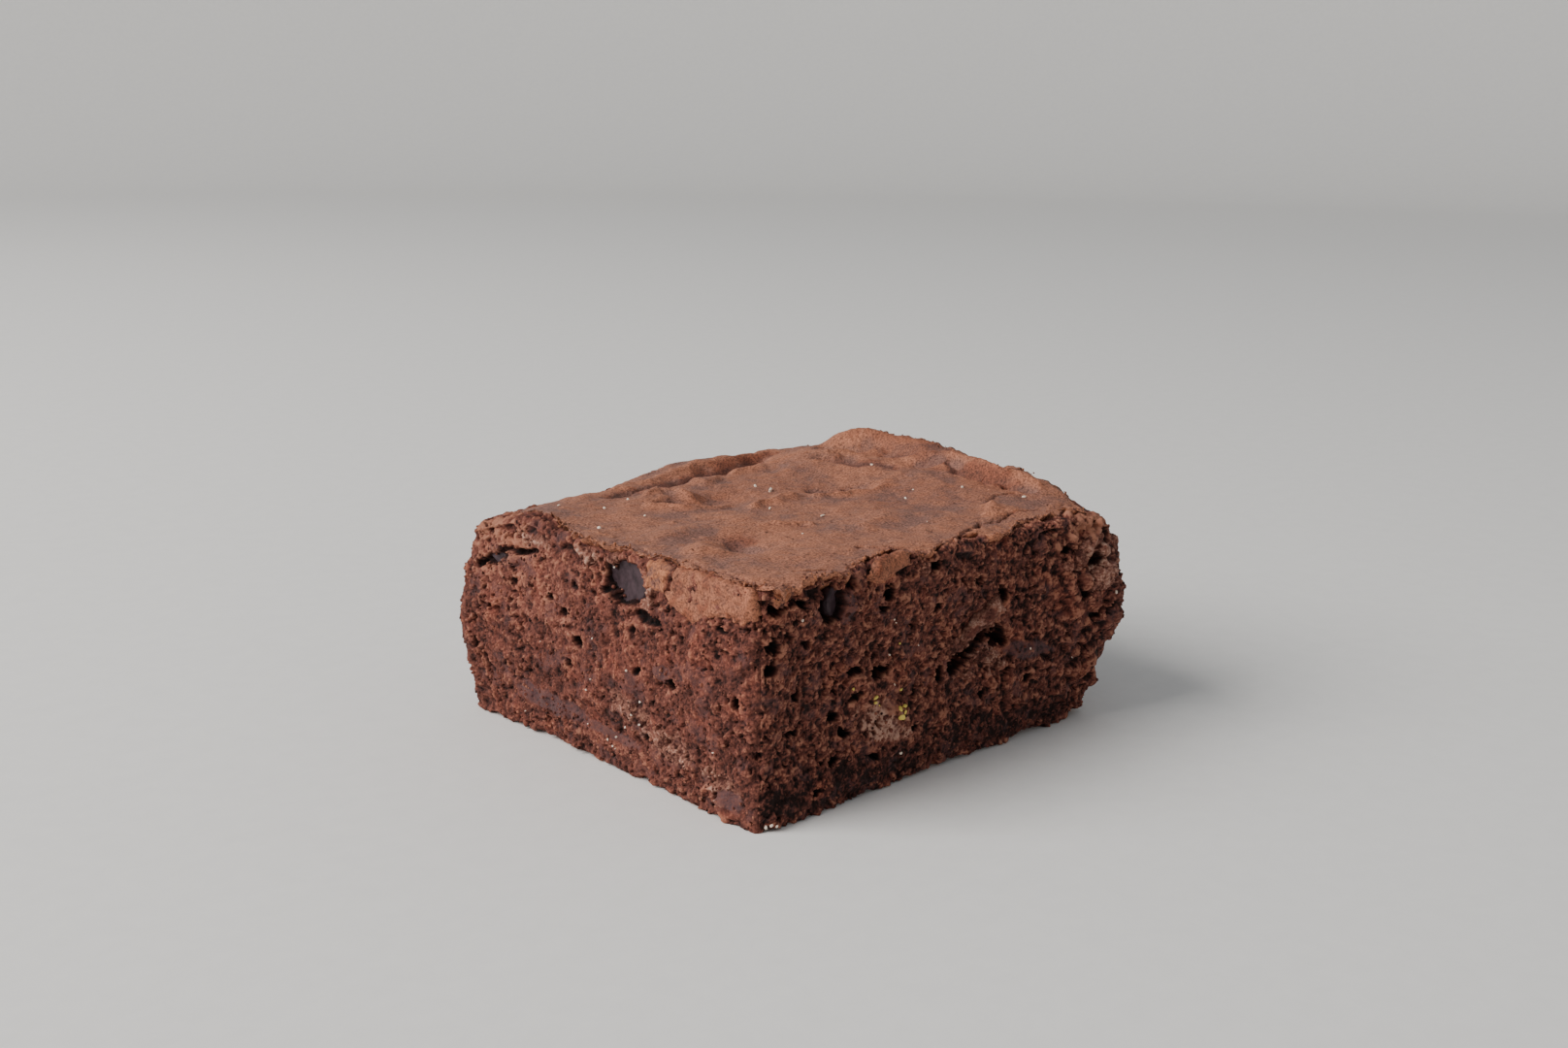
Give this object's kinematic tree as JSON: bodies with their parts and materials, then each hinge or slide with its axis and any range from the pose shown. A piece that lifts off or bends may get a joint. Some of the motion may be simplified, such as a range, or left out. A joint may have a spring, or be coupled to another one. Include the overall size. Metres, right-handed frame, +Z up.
{
  "type": "chocolate brownie",
  "caption": "Square-cut block of chocolate brownie cake with a thin puffed top crust, open crumb on its cut sides and a flat base to rest on.",
  "frame": {"origin": "middle of the base, below the middle of the block's outline seen from above", "axes": "+Z up through the crust, +X along the longer cut side towards the puffed rim, +Y along the shorter cut side"},
  "size_m": [0.0762, 0.0698, 0.0365],
  "materials": {
    "crumb": "matt dark brown cake crumb",
    "crust": "thin matt baked crust",
    "melted_chocolate": "satin dark chocolate",
    "sugar_grain": "pale crystals",
    "golden_fleck": "yellow flecks"
  },
  "bodies": {
    "root": {"brownie": "crumb"}
  },
  "joints": []
}
